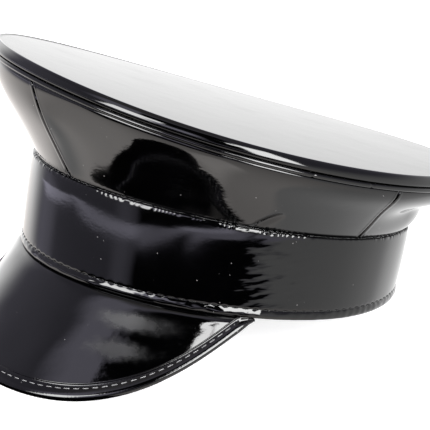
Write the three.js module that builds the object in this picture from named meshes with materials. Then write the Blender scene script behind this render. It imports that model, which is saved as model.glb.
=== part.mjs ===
// Peaked uniform cap of glossy black vinyl: a stiff band round the head, four side quarters that
// flare out from it, a wide oval top with a piped rim, and a steep peak with a bound edge.
// Millimetres. The cap is shaped upright, with the lower edge of its band in the plane z = 0,
// the front towards -Y and the wearer's left towards +X. At the end it is leaned back until
// it rests on the front edge of the peak and on the back of the band, and the floor is z = 0.
import * as THREE from 'three';

// Band
const BAND_HALF_LENGTH = 100;      // outside, front to back
const BAND_HALF_WIDTH = 92;        // outside, side to side
const BAND_WALL = 2.2;
const BAND_EXPONENT = 1.92;        // 2 would be a plain ellipse
const BAND_EGG = 0.02;             // share by which the front half is wider than the back
const BAND_FLARE = 0.8;            // how much wider the band is at its upper edge
const BAND_HEIGHT = 40.2;          // at the sides
const BAND_FRONT_RISE = 5.6;       // higher than that in front, lower by as much at the back
const BAND_END_RISE = 0.3;         // higher at front and back than at the sides

// Rim of the top
const RIM_HALF_LENGTH = 125.6;
const RIM_HALF_WIDTH = 114.9;
const RIM_CENTRE_Y = -0.3;
const RIM_EXPONENT = 2.01;
const RIM_EGG = 0.04;
const RIM_HEIGHT = 79.8;           // mean height above the lower edge of the band
const RIM_FRONT_RISE = 17.7;
const RIM_END_RISE = 0.8;
const RIM_SIDE_DROP = 1.5;         // the wearer's left hangs a little lower
const RIM_TWIST = 2.6;             // the rim is also a little out of true, corner to corner
const TOP_DISH = 1.5;              // how far the middle of the top sinks below a taut sheet

// Cloth thicknesses and the gap that parts neighbouring pieces
const CLOTH = 1.4;
const GAP = 0.3;

// Peak and its binding
const PEAK_LENGTH = 57.6;          // along the slope, in the middle
const PEAK_HALF_ANGLE = 64.2;      // degrees round the band from the front to each end
const PEAK_SPREAD = 1.31;          // how long the peak keeps its length towards the ends
const PEAK_TAPER = 1.21;           // how sharply it then falls to nothing
const PEAK_SLOPE = 59.8;           // degrees below the plane of the band, in the middle
const PEAK_END_SLOPE = 70.2;       // the same at the ends
const PEAK_BOARD = 1.2;
const PEAK_BEND = 2.5;             // length of the slope taken up by the bend at the band
const PEAK_TUCK = 8;               // height of the edge sewn up inside the band
const BINDING_WIDTH = 7.3;
const BINDING_CLOTH = 0.65;
const BINDING_GAP = 0.25;

// Rest: lean of the cap on the floor, in degrees
const LEAN = 12.68;

// Steps round the cap
const STEPS_ROUND = 76;
const STEPS_QUARTER = 19;
const STEPS_PEAK = 30;
const SEAM_HALF_GAP = 0.09;        // degrees that each quarter stops short of a seam

// The front seam runs slightly askew: degrees towards the wearer's left at its two ends
const FRONT_SEAM_LOW = 1;
const FRONT_SEAM_HIGH = -2.4;

const rad = THREE.MathUtils.degToRad;
const mix = THREE.MathUtils.lerp;
const smooth = THREE.MathUtils.smoothstep;

// Sections of the side quarters, from the top of the band (0, 0) to the piping (1, 1).
// out: share of the way out to the rim; up: share of the way up. The front bellies out,
// the sides are near straight, the back rises first and then runs out flat under the rim.
const WALL_SECTION = [
  { frontOut: 0.00, frontUp: 0.00, sideOut: 0.00, sideUp: 0.00, backOut: 0.00, backUp: 0.00 },
  { frontOut: 0.08, frontUp: 0.12, sideOut: 0.13, sideUp: 0.12, backOut: 0.16, backUp: 0.10 },
  { frontOut: 0.26, frontUp: 0.25, sideOut: 0.26, sideUp: 0.25, backOut: 0.22, backUp: 0.24 },
  { frontOut: 0.45, frontUp: 0.40, sideOut: 0.41, sideUp: 0.40, backOut: 0.19, backUp: 0.42 },
  { frontOut: 0.65, frontUp: 0.55, sideOut: 0.57, sideUp: 0.55, backOut: 0.25, backUp: 0.56 },
  { frontOut: 0.83, frontUp: 0.70, sideOut: 0.74, sideUp: 0.70, backOut: 0.50, backUp: 0.64 },
  { frontOut: 0.94, frontUp: 0.85, sideOut: 0.92, sideUp: 0.84, backOut: 0.82, backUp: 0.76 },
];

// Point of an egg-shaped oval at an angle counted from the front towards the wearer's left
function oval(angle, halfWidth, halfLength, exponent, egg, centreY, z) {
  const c = Math.cos(angle);
  const s = Math.sin(angle);
  const r = (Math.abs(c) ** exponent + Math.abs(s) ** exponent) ** (-1 / exponent);
  return new THREE.Vector3(halfWidth * s * r * (1 + egg * c), centreY - halfLength * c * r, z);
}

// Outer line of the band, "wider" millimetres larger than its lower edge
function bandPoint(angle, wider, z) {
  const halfWidth = BAND_HALF_WIDTH + wider;
  const halfLength = BAND_HALF_LENGTH + wider;
  return oval(angle, halfWidth, halfLength, BAND_EXPONENT, BAND_EGG, 0, z);
}

function bandTopHeight(angle) {
  return BAND_HEIGHT + BAND_FRONT_RISE * Math.cos(angle) + BAND_END_RISE * Math.cos(2 * angle);
}

// Outer line of the rim: the share scales it down towards the middle of the top
function rimPoint(angle, share = 1) {
  const z = RIM_HEIGHT
    + share * (RIM_FRONT_RISE * Math.cos(angle) - RIM_SIDE_DROP * Math.sin(angle))
    + share ** 2 * (RIM_END_RISE * Math.cos(2 * angle) - RIM_TWIST * Math.sin(2 * angle));
  const halfWidth = RIM_HALF_WIDTH * share;
  const halfLength = RIM_HALF_LENGTH * share;
  return oval(angle, halfWidth, halfLength, RIM_EXPONENT, RIM_EGG, RIM_CENTRE_Y, z);
}

// Level direction that points outward from a line round the cap
function outward(line, angle) {
  const step = 1e-4;
  const along = line(angle + step).sub(line(angle - step));
  return new THREE.Vector3(-along.y, along.x, 0).normalize().negate();
}

// A point beside a line round the cap: "out" millimetres outward and "up" millimetres above it
function beside(line, angle, out, up) {
  const point = line(angle).addScaledVector(outward(line, angle), out);
  point.z += up;
  return point;
}

// Direction square to a path of points in a section plane, at one of its points
function squareTo(path, i) {
  const before = path[Math.max(i - 1, 0)];
  const after = path[Math.min(i + 1, path.length - 1)];
  const here = path[i];
  const first = new THREE.Vector2(here[0] - before[0], here[1] - before[1]).normalize();
  const second = new THREE.Vector2(after[0] - here[0], after[1] - here[1]).normalize();
  const along = first.add(second).normalize();
  return new THREE.Vector2(-along.y, along.x);
}

// Closed body between two grids of points with as many rows and columns as each other.
// Rows run round the cap from the front to the wearer's left. Columns run upward, or inward
// over a face that looks up. wrap joins the last row to the first one.
function bodyBetween(outer, inner, wrap) {
  const positions = [];
  const known = new Map();
  const index = [];
  const vertex = (p) => {
    const key = `${p.x.toFixed(4)} ${p.y.toFixed(4)} ${p.z.toFixed(4)}`;
    if (!known.has(key)) {
      known.set(key, positions.length / 3);
      positions.push(p.x, p.y, p.z);
    }
    return known.get(key);
  };
  const triangle = (a, b, c) => {
    if (a !== b && b !== c && c !== a) {
      index.push(a, b, c);
    }
  };
  const quad = (a, b, c, d) => {
    triangle(a, b, c);
    triangle(a, c, d);
  };
  const out = outer.map((row) => row.map(vertex));
  const inn = inner.map((row) => row.map(vertex));
  const rows = out.length;
  const last = out[0].length - 1;
  const spans = wrap ? rows : rows - 1;
  for (let i = 0; i < spans; i += 1) {
    const j = (i + 1) % rows;
    for (let k = 0; k < last; k += 1) {
      quad(out[i][k], out[j][k], out[j][k + 1], out[i][k + 1]);
      quad(inn[i][k], inn[i][k + 1], inn[j][k + 1], inn[j][k]);
    }
    quad(out[i][0], inn[i][0], inn[j][0], out[j][0]);
    quad(out[i][last], out[j][last], inn[j][last], inn[i][last]);
  }
  if (!wrap) {
    for (let k = 0; k < last; k += 1) {
      quad(out[0][k], out[0][k + 1], inn[0][k + 1], inn[0][k]);
      quad(out[rows - 1][k], inn[rows - 1][k], inn[rows - 1][k + 1], out[rows - 1][k + 1]);
    }
  }
  const geometry = new THREE.BufferGeometry();
  geometry.setAttribute('position', new THREE.Float32BufferAttribute(positions, 3));
  geometry.setIndex(index);
  return geometry;
}

// Angles in radians from one angle to another, both in degrees
function angles(from, to, steps) {
  return Array.from({ length: steps + 1 }, (_, i) => rad(mix(from, to, i / steps)));
}

const ALL_ROUND = angles(0, 360, STEPS_ROUND).slice(0, STEPS_ROUND);

// Band: one stiff hoop with a flat lower edge, a slight belly and an upper edge that turns in
function bandGeometry() {
  const level = (angle) => {
    const top = bandTopHeight(angle);
    return [
      { z: 0, out: -0.5, inn: -0.3 },
      { z: 0.6, out: 0, inn: 0 },
      { z: 6, out: 0.2, inn: 0 },
      { z: top * 0.5, out: 0.4, inn: 0 },
      { z: top - 8, out: 0.4, inn: 0 },
      { z: top - 2.5, out: 0, inn: 0 },
      { z: top, out: -0.8, inn: -0.3 },
    ].map((p) => ({ ...p, wider: BAND_FLARE * p.z / top }));
  };
  const outer = ALL_ROUND.map((angle) => level(angle).map(
    (p) => bandPoint(angle, p.wider + p.out, p.z)));
  const inner = ALL_ROUND.map((angle) => level(angle).map(
    (p) => bandPoint(angle, p.wider - BAND_WALL - p.inn, p.z)));
  return bodyBetween(outer, inner, true);
}

// Middle of the cloth of a side quarter: a turned-in lower edge behind the band, the flaring
// wall, and a turned-in upper edge behind the piping
function quarterRow(angle) {
  const bandTop = (a) => bandPoint(a, BAND_FLARE, bandTopHeight(a));
  const rim = (a) => rimPoint(a);
  const turn = Math.abs(THREE.MathUtils.euclideanModulo(angle + Math.PI, 2 * Math.PI) - Math.PI);
  const front = 1 - smooth(turn, rad(45), rad(85));
  const back = smooth(turn, rad(88), rad(114));
  const side = 1 - front - back;
  const low = beside(bandTop, angle, -0.9 - CLOTH / 2, 0.6 + CLOTH / 2);
  const high = beside(rim, angle, -0.5 - CLOTH / 2, -8.6);
  const inside = -BAND_WALL - GAP - CLOTH / 2 - 0.1;
  const wall = WALL_SECTION.slice(1).map((p) => {
    const out = front * p.frontOut + side * p.sideOut + back * p.backOut;
    const up = front * p.frontUp + side * p.sideUp + back * p.backUp;
    return new THREE.Vector3(
      mix(low.x, high.x, out),
      mix(low.y, high.y, out),
      mix(low.z, high.z, up),
    );
  });
  return [
    beside(bandTop, angle, inside, -6),
    beside(bandTop, angle, inside, 0.3),
    low,
    ...wall,
    high,
    beside(rim, angle, -1.2 - CLOTH / 2, -7.4),
    beside(rim, angle, -1.2 - CLOTH / 2, -3.4),
  ];
}

// How far round the cap from its even place a point near the front seam is moved, in radians
function seamShift(angle, share) {
  const closeness = Math.max(0, Math.cos(angle)) ** 4;
  return rad(mix(FRONT_SEAM_LOW, FRONT_SEAM_HIGH, share)) * closeness;
}

// Direction square to the cloth at a point of a side quarter, by differences of neighbours
function quarterNormal(angle, k) {
  const step = 1e-3;
  const row = quarterRow(angle);
  const round = quarterRow(angle + step)[k].sub(quarterRow(angle - step)[k]);
  const here = row[k];
  const before = k > 0 ? here.clone().sub(row[k - 1]).normalize() : new THREE.Vector3();
  const after = k < row.length - 1 ? row[k + 1].clone().sub(here).normalize() : new THREE.Vector3();
  return new THREE.Vector3().crossVectors(round, before.add(after)).normalize();
}

// Side quarter: the sheet between two seams, thickened to both sides of its middle
function quarterGeometry(from, to) {
  const list = angles(from + SEAM_HALF_GAP, to - SEAM_HALF_GAP, STEPS_QUARTER);
  const last = quarterRow(0).length - 1;
  const side = (angle, sign) => Array.from({ length: last + 1 }, (_, k) => {
    const moved = angle + seamShift(angle, k / last);
    return quarterRow(moved)[k].addScaledVector(quarterNormal(moved, k), sign * CLOTH / 2);
  });
  const outer = list.map((angle) => side(angle, 1));
  const inner = list.map((angle) => side(angle, -1));
  return bodyBetween(outer, inner, false);
}

// Height of the upper face of the top at a share of the way from its middle to the rim
function topPoint(angle, share) {
  const point = rimPoint(angle, share);
  point.z -= TOP_DISH * (1 - share ** 2);
  return point;
}

// Top: a nearly taut oval sheet whose edge rolls over a hidden wire and ends above the piping
function topGeometry() {
  const rim = (a) => rimPoint(a);
  const shares = [0, 0.3, 0.55, 0.75, 0.89, 0.965];
  const roll = [
    [-1.2, 0.3],
    [0.2, -0.9],
    [0.9, -2.7],
    [0.6, -4.9],
  ];
  const under = [
    [-1.9, -1.1],
    [-0.9, -1.7],
    [-0.6, -2.9],
    [-0.7, -4.9],
  ];
  const sheet = (angle, drop) => shares.map((share) => {
    const point = topPoint(angle, share);
    point.z -= drop;
    return point;
  });
  const outer = ALL_ROUND.map((angle) => [
    ...sheet(angle, 0),
    ...roll.map((p) => beside(rim, angle, p[0], p[1])),
  ].reverse());
  const inner = ALL_ROUND.map((angle) => [
    ...sheet(angle, CLOTH),
    ...under.map((p) => beside(rim, angle, p[0], p[1])),
  ].reverse());
  return bodyBetween(outer, inner, true);
}

// Piping: a thin covered cord between the rolled edge and the side quarters
function pipingGeometry() {
  const rim = (a) => rimPoint(a);
  const outerPath = [
    [-0.4, -7.7],
    [0.7, -7.3],
    [0.9, -6.3],
    [0.3, -5.3],
  ];
  const innerPath = [
    [-0.8, -7.5],
    [-0.85, -6.9],
    [-0.85, -6],
    [-0.7, -5.25],
  ];
  const ring = (path) => ALL_ROUND.map((angle) => path.map((p) => beside(rim, angle, p[0], p[1])));
  return bodyBetween(ring(outerPath), ring(innerPath), true);
}

// Length of the peak along its slope, and its slope in radians, at a share of its half angle
function peakLength(share) {
  return PEAK_LENGTH * Math.cos(Math.PI / 2 * Math.abs(share) ** PEAK_SPREAD) ** PEAK_TAPER;
}

function peakSlope(share) {
  return rad(mix(PEAK_SLOPE, PEAK_END_SLOPE, share ** 2));
}

// A point of the sloping part of the peak in its section plane: [out, up] from the band's edge
function onSlope(share, length) {
  const slope = peakSlope(share);
  return [length * Math.cos(slope), -length * Math.sin(slope)];
}

// Middle line of the peak in its section plane, from inside the band to the free edge: up
// behind the band, level under its edge, then down the slope. Near its ends the peak is so
// short that the free edge stays in the bend under the band.
function peakPath(share) {
  const inside = -BAND_WALL - GAP - PEAK_BOARD / 2;
  const under = -GAP - PEAK_BOARD / 2;
  const length = peakLength(share);
  const start = [-0.5, under];
  const bend = onSlope(share, PEAK_BEND);
  const between = (from, to, part) => [mix(from[0], to[0], part), mix(from[1], to[1], part)];
  const reached = Math.min(1, length / PEAK_BEND);
  const shorter = between(start, bend, reached);
  const end = length > PEAK_BEND ? onSlope(share, length) : shorter;
  const turn = between(start, bend, Math.min(1, 0.6 * reached + 0.4 * (length > PEAK_BEND)));
  return [
    [inside, PEAK_TUCK],
    [inside, 0.9],
    [inside + 0.9, under],
    start,
    turn,
    between(turn, end, 0.33),
    between(turn, end, 0.67),
    end,
  ];
}

const bandEdge = (angle) => bandPoint(angle, 0, 0);

// Body from section paths that are listed from the band or the upper face outward
function bodyFromSections(reach, sectionAt) {
  const step = (i) => mix(-reach, reach, i / STEPS_PEAK);
  const shares = Array.from({ length: STEPS_PEAK + 1 }, (_, i) => step(i));
  const place = (share, path) => path.map(
    (p) => beside(bandEdge, rad(PEAK_HALF_ANGLE) * share, p[0], p[1])).reverse();
  const sections = shares.map(sectionAt);
  const outer = sections.map((section, i) => place(shares[i], section.outer));
  const inner = sections.map((section, i) => place(shares[i], section.inner));
  return bodyBetween(outer, inner, false);
}

// Peak: a stiff board sewn up inside the band, passing under its edge and sloping down
function peakGeometry() {
  return bodyFromSections(0.995, (share) => {
    const path = peakPath(share);
    const shifted = (sign) => path.map((p, i) => {
      const square = squareTo(path, i).multiplyScalar(sign * PEAK_BOARD / 2);
      return [p[0] + square.x, p[1] + square.y];
    });
    return { outer: shifted(1), inner: shifted(-1) };
  });
}

// Binding: a folded strip that grips the free edge of the peak and is rounded outside
function bindingGeometry() {
  const lift = PEAK_BOARD / 2 + BINDING_GAP;
  const thick = lift + BINDING_CLOTH;
  return bodyFromSections(0.986, (share) => {
    const length = peakLength(share);
    const over = Math.min(BINDING_WIDTH, Math.max(length - 0.9, 0.5 * length));
    const below = Math.min(BINDING_WIDTH, Math.max(length - PEAK_BEND - 0.4, 0.15));
    const path = peakPath(share);
    const [x, y] = path[path.length - 1];
    const square = squareTo(path, path.length - 1);
    const at = (past, raised) => [
      x + past * square.y + raised * square.x,
      y - past * square.x + raised * square.y,
    ];
    return {
      outer: [
        at(-over, thick),
        at(-over * 0.3, thick),
        at(0.75, thick * 0.8),
        at(1.5, 0),
        at(0.75, -thick * 0.8),
        at(-below * 0.3, -thick),
        at(-below, -thick),
      ],
      inner: [
        at(-over, lift),
        at(-over * 0.3, lift),
        at(0.3, lift),
        at(0.55, 0),
        at(0.3, -lift),
        at(-below * 0.3, -lift),
        at(-below, -lift),
      ],
    };
  });
}

// Assembly
const cap = new THREE.Group();
cap.name = 'uniform_cap';

const BLACK_VINYL = { color: 0x0b0b0d, roughness: 0.08, metalness: 0 };

function addPiece(name, geometry, look = BLACK_VINYL) {
  const mesh = new THREE.Mesh(geometry, new THREE.MeshStandardMaterial(look));
  mesh.name = name;
  cap.add(mesh);
}

addPiece('crown_top', topGeometry());
addPiece('rim_piping', pipingGeometry(), { color: 0x111114, roughness: 0.14, metalness: 0 });
addPiece('quarter_front_left', quarterGeometry(0, 90));
addPiece('quarter_back_left', quarterGeometry(90, 180));
addPiece('quarter_back_right', quarterGeometry(180, 270));
addPiece('quarter_front_right', quarterGeometry(270, 360));
addPiece('cap_band', bandGeometry());
addPiece('peak', peakGeometry());
addPiece('peak_binding', bindingGeometry(), { color: 0x111114, roughness: 0.14, metalness: 0 });

// Lean the cap back onto the floor, then centre it over the origin with the floor at z = 0
cap.children.forEach((mesh) => mesh.geometry.rotateX(-rad(LEAN)));
const box = new THREE.Box3().setFromObject(cap);
const centre = box.getCenter(new THREE.Vector3());
cap.children.forEach((mesh) => {
  mesh.geometry.translate(-centre.x, -centre.y, -box.min.z);
  mesh.geometry.computeVertexNormals();
});

export default cap;
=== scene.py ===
# %% [markdown]
# # A police hat in black patent vinyl
# The hat is one assembly of thin sheets: a stiff band round the head, four side quarters that
# flare out from it, a wide oval top whose edge rolls over a wire, a thin piping under that
# roll, and a steep peak with a stitched binding.
# The measured frame already holds all of them as plain solids, so this script works on looks:
# it draws every sheet again with many more points, gives it folds, seams and stitches, and
# finds a finish for each surface. The frame is opened first.

# %% Open the measured frame
import math

import bpy
import numpy as np
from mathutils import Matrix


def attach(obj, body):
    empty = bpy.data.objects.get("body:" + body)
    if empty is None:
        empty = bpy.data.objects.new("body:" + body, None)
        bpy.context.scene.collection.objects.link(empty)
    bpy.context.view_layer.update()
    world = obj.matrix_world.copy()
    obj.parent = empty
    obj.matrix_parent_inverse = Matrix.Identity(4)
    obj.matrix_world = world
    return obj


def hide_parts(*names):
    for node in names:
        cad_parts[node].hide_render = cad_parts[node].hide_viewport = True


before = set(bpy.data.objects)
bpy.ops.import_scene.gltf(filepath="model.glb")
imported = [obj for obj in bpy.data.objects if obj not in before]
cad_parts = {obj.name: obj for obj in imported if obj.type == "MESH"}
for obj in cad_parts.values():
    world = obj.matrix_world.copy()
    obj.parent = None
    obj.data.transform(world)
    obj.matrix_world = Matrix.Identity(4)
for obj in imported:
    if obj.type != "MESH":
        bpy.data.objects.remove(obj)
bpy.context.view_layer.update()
print("frame pieces:", sorted(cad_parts))

# %% [markdown]
# ## Lines round the head
# A hat is easiest to draw standing upright, in millimetres, as a pattern maker does it: the
# lower edge of the band is the level z = 0 and the front looks towards -Y. Every sheet hangs
# between two lines round the head, the band and the rim. Each line is an egg-shaped oval,
# written as a function of one angle, so that thousands of its points come from one formula.
# Only at the very end are the points leaned back onto the floor and turned into metres.

# %% Steps and unit vectors
def steps(points, axis=0, **ends):
    """Length of every step between neighbouring points."""
    return np.linalg.norm(np.diff(points, axis=axis, **ends), axis=-1)


def unit(vectors):
    """Vectors divided by their lengths; one with no length stays as it is."""
    return vectors / np.maximum(np.linalg.norm(vectors, axis=-1, keepdims=True), 1e-9)


# %% Ovals and places beside them
LEAN = math.radians(12.68)
SHIFT_BACK = 0.9046
SHIFT_UP = 21.8408
FLARE = 0.8    # millimetres by which the band is wider above than below


def oval(angle, half_width, half_length, power, egg, centre_y):
    """Egg-shaped oval. r = (|cos|^power + |sin|^power)^(-1/power);
    x = half_width * sin * r * (1 + egg * cos), y = centre_y - half_length * cos * r."""
    c, s = np.cos(angle), np.sin(angle)
    r = (np.abs(c) ** power + np.abs(s) ** power) ** (-1 / power)
    return half_width * s * r * (1 + egg * c), centre_y - half_length * c * r


def band_top_height(angle):
    """Height of the band: a cosine makes it higher in front than at the back."""
    return 40.2 + 5.6 * np.cos(angle) + 0.3 * np.cos(2 * angle)


def band_line(angle, wider=0.0, z=0.0):
    """Oval of the band's lower edge, wider by some millimetres, at the height z."""
    x, y = oval(angle, 92 + wider, 100 + wider, 1.92, 0.02, 0)
    return np.stack(np.broadcast_arrays(x, y, z), axis=-1)


def band_top(angle):
    """Upper edge of the band, wider by the flare."""
    return band_line(angle, FLARE, band_top_height(angle))


def rim_line(angle, share=1.0):
    """Oval of the rim, scaled by share towards the middle of the top. Its height is a plane
    that rises to the front, plus cos 2a and sin 2a terms that put the rim out of true."""
    z = (79.8 + share * (17.7 * np.cos(angle) - 1.5 * np.sin(angle))
         + share ** 2 * (0.8 * np.cos(2 * angle) - 2.6 * np.sin(2 * angle)))
    x, y = oval(angle, 114.9 * share, 125.6 * share, 2.01, 0.04, -0.3)
    return np.stack(np.broadcast_arrays(x, y, z), axis=-1)


def beside(line, angle, out, up):
    """A point of a line, moved along the line's level outward normal by out and upward by up.
    The normal is the tangent (tx, ty) by differences, turned to (ty, -tx)."""
    tangent = line(angle + 1e-4) - line(angle - 1e-4)
    level = unit(tangent[..., :2])
    out, up = np.broadcast_to(out, angle.shape), np.broadcast_to(up, angle.shape)
    move = np.stack([level[..., 1] * out, -level[..., 0] * out, up], axis=-1)
    return line(angle) + move


def on_the_floor(points):
    """Turns upright millimetres about X by the lean, shifts them, and gives metres."""
    x, y, z = points[..., 0], points[..., 1], points[..., 2]
    back = y * math.cos(LEAN) + z * math.sin(LEAN) + SHIFT_BACK
    high = -y * math.sin(LEAN) + z * math.cos(LEAN) + SHIFT_UP
    return np.stack([x, back, high], axis=-1) * 0.001


round_the_head = np.linspace(0, 2 * math.pi, 2000)
lengths = [steps(line(round_the_head)).sum() for line in (band_line, rim_line)]
print("round the band and round the rim, mm:", [round(v) for v in lengths])

# %% [markdown]
# ## Sheets from sections
# A sewn sheet is the same thin section carried round the head. The section is written as a
# few fold points, a smooth curve is run through them, and the curve is doubled at cloth
# distance. Modelling by hand would give the same form, but with formulas the folds stay
# where the stitches are, however fine the mesh is made.

# %% A smooth curve through fold points
def smooth_through(rows, counts):
    """Cubic curve through rows of points, shape (rows, angles, 3), with counts[i] steps
    between row i and row i + 1. Knots are spaced by the square root of the mean distance, and
    the slope at a row is the mean of the slopes at both sides, weighted by the other side's
    length. Returns the points as (angles, steps, 3) and the fractional row of each step."""
    gaps = np.sqrt(steps(rows).mean(axis=-1))[:, None, None]
    slope = np.diff(rows, axis=0) / gaps
    inner = (slope[1:] * gaps[:-1] + slope[:-1] * gaps[1:]) / (gaps[1:] + gaps[:-1])
    tangent = np.concatenate([slope[:1], inner, slope[-1:]])
    span = np.repeat(np.arange(len(counts)), counts)
    start = np.concatenate([[0], np.cumsum(counts)[:-1]])
    t = (np.arange(len(span)) - start[span]) / np.asarray(counts)[span]
    span, t = np.append(span, len(counts) - 1), np.append(t, 1.0)
    h, s = gaps[span], t[:, None, None]
    curve = ((2 * s ** 3 - 3 * s ** 2 + 1) * rows[span]
             + (s ** 3 - 2 * s ** 2 + s) * h * tangent[span]
             + (3 * s ** 2 - 2 * s ** 3) * rows[span + 1]
             + (s ** 3 - s ** 2) * h * tangent[span + 1])
    return curve.swapaxes(0, 1), span + t


def ironed(curve, keep, times):
    """Evens out a curve (angles, steps, 3): each pass moves a point by a quarter of the second
    difference along the section, times keep, which is 0 where a fold must stay."""
    curve = curve.copy()
    for _ in range(times):
        bend = curve[:, 2:] - 2 * curve[:, 1:-1] + curve[:, :-2]
        curve[:, 1:-1] += 0.25 * keep[1:-1, None] * bend
    return curve


def cloth_normals(grid, closed_round):
    """Unit normals of a grid (round, along, 3): cross product of the step round the head and
    the step along the section, both by central differences."""
    if closed_round:
        step_round = np.roll(grid, -1, axis=0) - np.roll(grid, 1, axis=0)
    else:
        step_round = np.gradient(grid, axis=0)
    return unit(np.cross(step_round, np.gradient(grid, axis=1)))


def soft_step(value, low, high):
    """0 below low, 1 above high and 3t^2 - 2t^3 between them."""
    t = np.clip((value - low) / (high - low), 0, 1)
    return t * t * (3 - 2 * t)


def bell(value, middle, width):
    """Bell curve, 1 at the middle: exp of minus ((value - middle) / width) squared."""
    return np.exp(-((value - middle) / width) ** 2)


def waves(points, length, depth, seed, number=14):
    """Soft dents of handled cloth: a sum of plane sine waves through space, each with its own
    direction, its own phase and a length within a third of the given one."""
    draw = np.random.default_rng(seed)
    way = draw.normal(size=(number, 3))
    each = length * draw.uniform(0.67, 1.33, number)
    way *= (2 * math.pi / each / np.linalg.norm(way, axis=1))[:, None]
    phase = draw.uniform(0, 2 * math.pi, number)
    return depth * np.sin(points @ way.T + phase).sum(axis=-1) / math.sqrt(number)


# %% [markdown]
# ## From grids to a closed piece
# Each piece is a tube with a flat section: the outer face, then the inner face backwards.
# Quads join neighbouring points, and where the tube doesn't close on itself, quads cap it at
# each end. Points that fall together, as at the middle of the top, are merged, so the
# mesh is watertight. The UV map holds true millimetres round the head and along the section,
# so that a weave or a ripple in the finish can follow the cloth.

# %% Closed pieces with a map in millimetres
def put_in_scene(name, data):
    """New object at the origin, unturned."""
    thing = bpy.data.objects.new(name, data)
    bpy.context.scene.collection.objects.link(thing)
    return thing


def finish_piece(mesh, uv, materials, node):
    """Gives a mesh its map and its finishes, and puts it in the scene on the one body of the
    hat, in place of a node if it has one."""
    mesh.uv_layers.new(name="cloth").data.foreach_set("uv", uv.ravel())
    for material in materials:
        mesh.materials.append(material)
    mesh.polygons.foreach_set("use_smooth", np.ones(len(mesh.polygons), bool))
    mesh.update()
    piece = put_in_scene(mesh.name, mesh)
    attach(piece, "root")
    if node:
        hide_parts(node)
    print(f"{piece.name}: {sum(len(p.vertices) - 2 for p in mesh.polygons)} triangles")


def sew(name, outer, inner, closed_round, materials, node):
    """Closed mesh from an outer and an inner grid of the same angles, columns running upward
    (or inward on a face that looks up). Faces of the inner grid get the second material."""
    ring = np.concatenate([outer, inner[:, ::-1]], axis=1)
    rows, columns = ring.shape[:2]
    spans = rows if closed_round else rows - 1
    i, k = np.meshgrid(np.arange(spans), np.arange(columns), indexing="ij")
    corner_i = np.stack([i, i + 1, i + 1, i], axis=-1).reshape(-1, 4)
    corner_k = np.stack([k, k, k + 1, k + 1], axis=-1).reshape(-1, 4)
    inside = (corner_k[:, 0] >= outer.shape[1] - 1).astype(int)
    if not closed_round:
        k = np.arange(columns // 2 - 1)
        pair = np.stack([k, k + 1, columns - 2 - k, columns - 1 - k], axis=-1)
        corner_i = np.concatenate([corner_i, pair * 0, pair * 0 + rows - 1])
        corner_k = np.concatenate([corner_k, pair, pair[:, ::-1]])
        inside = np.concatenate([inside, np.zeros(2 * len(k), int)])
    flat = on_the_floor(ring).reshape(-1, 3)
    flat, which = np.unique(np.round(flat, 7), axis=0, return_inverse=True)
    corners = which.ravel()[(corner_i % rows) * columns + corner_k % columns]

    far_round = np.append(0, np.cumsum(steps(ring, 0, append=ring[:1]).mean(axis=1)))
    far_along = np.append(0, np.cumsum(steps(ring, 1, append=ring[:, :1]).mean(axis=0)))
    place = np.stack([far_round[corner_i], far_along[corner_k]], axis=-1)

    repeated = corners == np.roll(corners, -1, axis=1)
    whole, three = repeated.sum(axis=1) == 0, repeated.sum(axis=1) == 1
    kept = ~repeated
    faces = corners[whole].tolist() + corners[three][kept[three]].reshape(-1, 3).tolist()
    uv = np.concatenate([place[whole].reshape(-1, 2), place[three][kept[three]]])
    mesh = bpy.data.meshes.new(name)
    mesh.from_pydata(flat.tolist(), [], faces)
    sides = np.concatenate([inside[whole], inside[three]]).clip(0, len(materials) - 1)
    mesh.polygons.foreach_set("material_index", sides)
    finish_piece(mesh, uv, materials, node)


# %% [markdown]
# ## Patent vinyl
# Patent vinyl is cloth under a thick, poured skin of plastic: nearly black, with a mirror
# gloss that is never quite flat. What makes it look real is the way reflections break up:
# broad waves from handling, fine ripples along the cloth, a little haze where hands have
# rubbed it, and specks of dust. The skin is one Principled shader, and noise textures on
# Object coordinates drive its bump and roughness, so that no seam shows where pieces meet.

# %% Small helpers for shader nodes
MIX_SHARE, MIX_LOW, MIX_HIGH, MIX_RESULT = 0, 6, 7, 2    # a Mix node's sockets for colours


def fed(tree, node, inputs):
    """The node, with inputs filled by name or number: a socket is linked, a value is set and
    None is passed over."""
    for key, value in inputs.items():
        if isinstance(value, bpy.types.NodeSocket):
            tree.links.new(value, node.inputs[key])
        elif value is not None:
            node.inputs[key].default_value = value
    return node


def node_of(tree, kind, inputs, **settings):
    """Adds a shader node, sets its properties and fills its inputs."""
    node = tree.nodes.new(kind)
    for key, value in settings.items():
        setattr(node, key, value)
    return fed(tree, node, inputs)


def new_finish(name):
    """A new material, its nodes and its shader."""
    material = bpy.data.materials.new(name)
    material.use_nodes = True
    return material, material.node_tree, material.node_tree.nodes["Principled BSDF"]


def calculated(tree, operation, *values, kind="ShaderNodeMath"):
    """Result of a math node on sockets or plain values."""
    return node_of(tree, kind, dict(enumerate(values)), operation=operation).outputs[0]


def blended(tree, share, low, high):
    """Colour between low and high by the share. Each is a socket or (red, green, blue)."""
    low, high = [(*tone, 1) if isinstance(tone, tuple) else tone for tone in (low, high)]
    inputs = {MIX_SHARE: share, MIX_LOW: low, MIX_HIGH: high}
    return node_of(tree, "ShaderNodeMix", inputs, data_type="RGBA").outputs[MIX_RESULT]


def cloth_place(tree):
    """Place on the cloth in millimetres, from the UV map."""
    return node_of(tree, "ShaderNodeUVMap", {}, uv_map="cloth").outputs["UV"]


def bands(tree, scale, distortion, direction):
    """Dark and light bands on the cloth."""
    inputs = {"Vector": cloth_place(tree), "Scale": scale, "Distortion": distortion}
    return node_of(tree, "ShaderNodeTexWave", inputs, bands_direction=direction).outputs["Fac"]


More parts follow.
